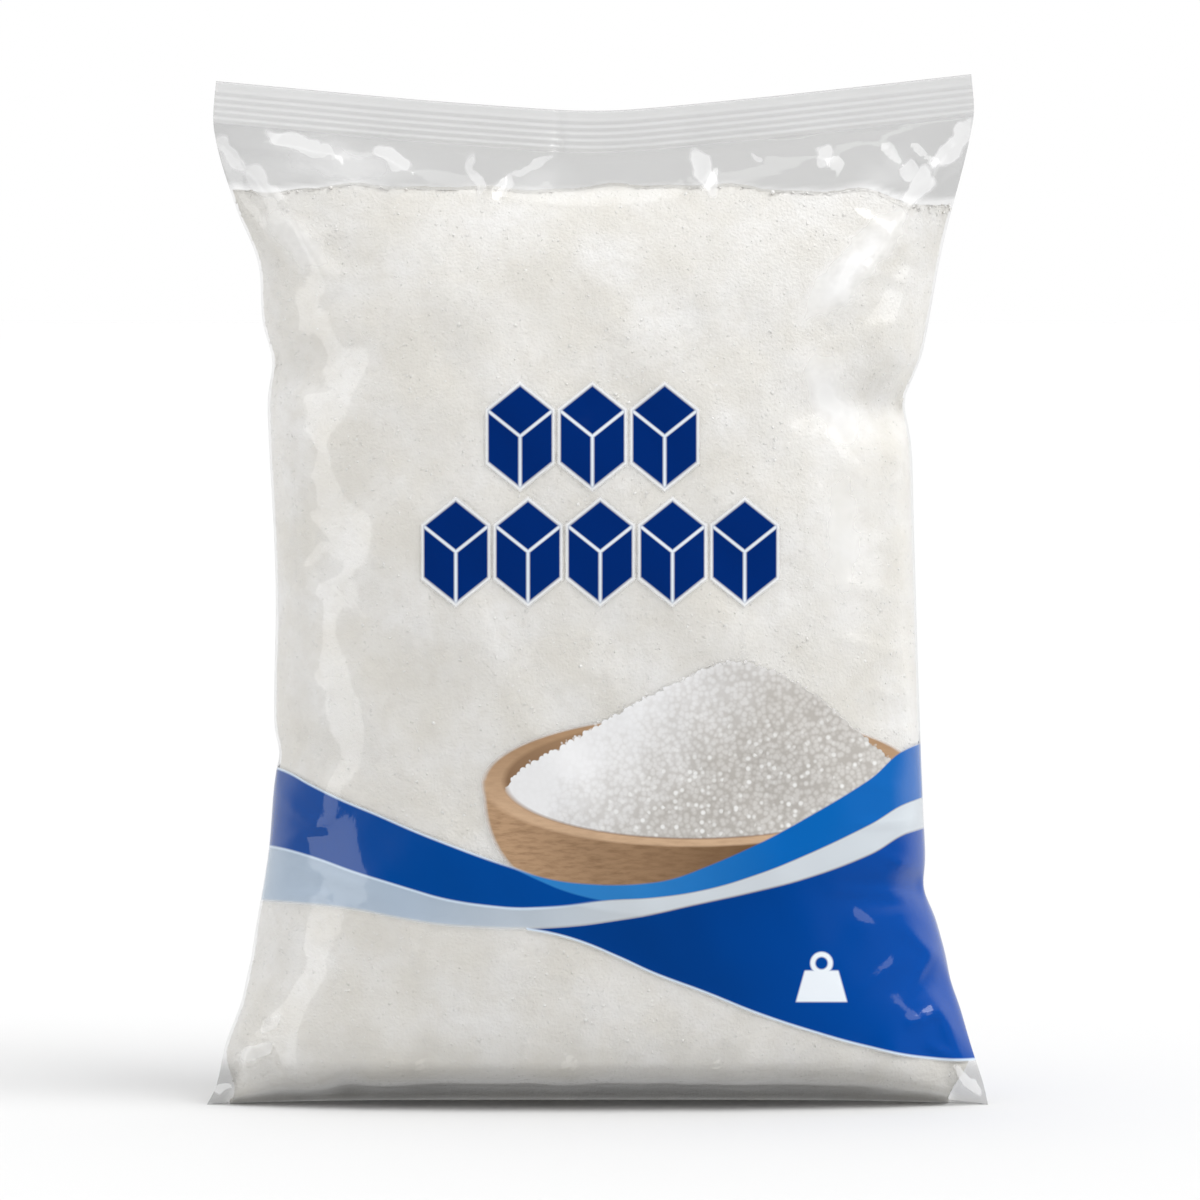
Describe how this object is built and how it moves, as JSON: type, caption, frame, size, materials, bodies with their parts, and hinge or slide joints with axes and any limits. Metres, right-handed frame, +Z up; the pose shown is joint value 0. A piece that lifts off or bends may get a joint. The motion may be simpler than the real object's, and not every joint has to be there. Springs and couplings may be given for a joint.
{
  "type": "bag of sugar",
  "caption": "Clear pillow bag of white granulated sugar with a crimped top seal, blue wave print, folded-under bottom seal and pointed bottom corners.",
  "frame": {"origin": "under the middle of the bag's bounding box, on the floor it stands on", "axes": "+X to the right as seen from the printed front; +Y from the printed front to the back; +Z up"},
  "size_m": [0.1678, 0.0636, 0.2214],
  "materials": {
    "filled_film": "glossy clear film over white sugar, printed with blue bands"
  },
  "bodies": {
    "root": {"sugar_bag": "filled_film"}
  },
  "joints": []
}
